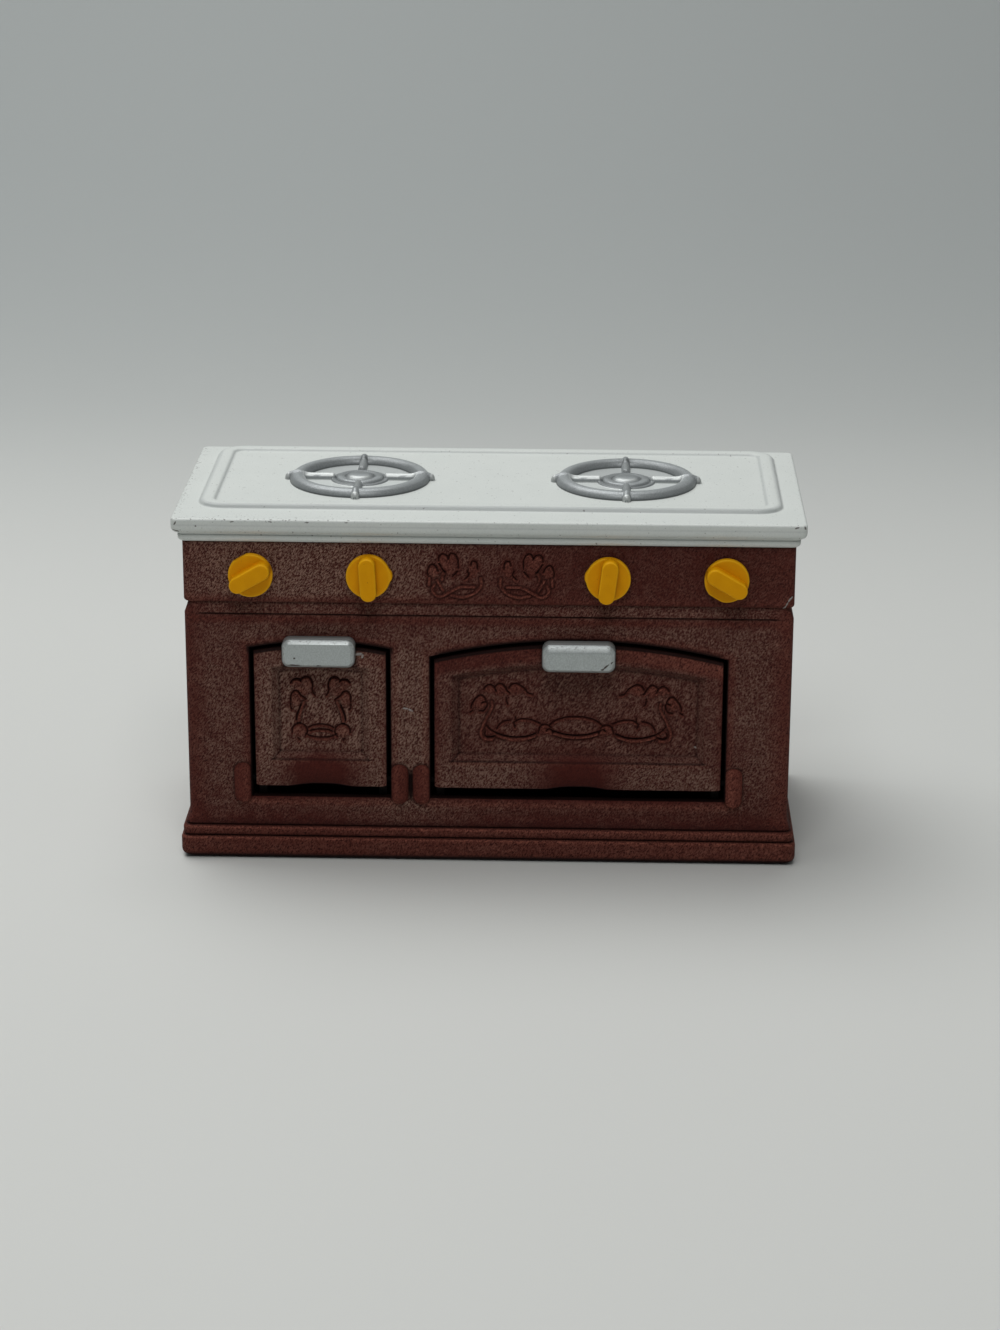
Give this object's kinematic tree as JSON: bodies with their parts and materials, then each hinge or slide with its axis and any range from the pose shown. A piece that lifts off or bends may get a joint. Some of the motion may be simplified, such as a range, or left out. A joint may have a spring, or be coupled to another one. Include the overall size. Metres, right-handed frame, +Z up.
{
  "type": "dollhouse stove",
  "caption": "Toy kitchen range with a white worktop, ring burners, turning knobs and drop-down arched oven doors on a stepped plinth.",
  "frame": {"origin": "on the floor, under the middle of the whole object", "axes": "+X to the right as seen from the front, +Y to the back, +Z up; the doors and knobs face -Y"},
  "size_m": [0.13, 0.0608, 0.0771],
  "materials": {
    "brown": "maroon-brown moulded plastic under a fine mottled grey-tan overspray",
    "white": "white painted plastic, satin, with small chips along its edges",
    "silver": "silver paint, satin and slightly metallic",
    "yellow": "deep yellow moulded plastic, satin",
    "oven_grey": "dark brown-grey moulded plastic",
    "steel": "plain bright steel"
  },
  "bodies": {
    "stove": {"cabinet": "brown", "base_plinth": "brown", "control_panel": "brown", "back_panel": "brown", "oven_box_left": "oven_grey", "oven_box_right": "oven_grey", "worktop": "white", "burner_left": "silver", "burner_right": "silver", "burner_washer_left": "steel", "burner_washer_right": "steel", "base_screw_1": "steel", "back_screw_1": "steel", "worktop_screw_1": "steel", "base_screw_2": "steel", "back_screw_2": "steel", "worktop_screw_2": "steel", "base_screw_3": "steel", "back_screw_3": "steel", "worktop_screw_3": "steel", "base_screw_4": "steel", "back_screw_4": "steel", "worktop_screw_4": "steel"},
    "door_left": {"door_left": "brown", "handle_left": "silver", "hinge_pin_1": "steel", "hinge_pin_2": "steel"},
    "door_right": {"door_right": "brown", "handle_right": "silver", "hinge_pin_3": "steel", "hinge_pin_4": "steel"},
    "knob_1": {"knob_1": "yellow", "knob_clip_1": "steel"},
    "knob_2": {"knob_2": "yellow", "knob_clip_2": "steel"},
    "knob_3": {"knob_3": "yellow", "knob_clip_3": "steel"},
    "knob_4": {"knob_4": "yellow", "knob_clip_4": "steel"}
  },
  "joints": [
    {"name": "door_left_hinge", "type": "hinge", "parent": "stove", "child": "door_left", "pos_m": [-0.035, -0.02475, 0.0174], "axis": [1, 0, 0], "range_deg": [0, 90]},
    {"name": "door_right_hinge", "type": "hinge", "parent": "stove", "child": "door_right", "pos_m": [0.01878, -0.02475, 0.0174], "axis": [1, 0, 0], "range_deg": [0, 90]},
    {"name": "knob_1_turn", "type": "hinge", "parent": "stove", "child": "knob_1", "pos_m": [-0.0489, -0.02595, 0.06255], "axis": [0, 1, 0], "continuous": true},
    {"name": "knob_2_turn", "type": "hinge", "parent": "stove", "child": "knob_2", "pos_m": [-0.02465, -0.02595, 0.06255], "axis": [0, 1, 0], "continuous": true},
    {"name": "knob_3_turn", "type": "hinge", "parent": "stove", "child": "knob_3", "pos_m": [0.02465, -0.02595, 0.06255], "axis": [0, 1, 0], "continuous": true},
    {"name": "knob_4_turn", "type": "hinge", "parent": "stove", "child": "knob_4", "pos_m": [0.0489, -0.02595, 0.06255], "axis": [0, 1, 0], "continuous": true}
  ]
}
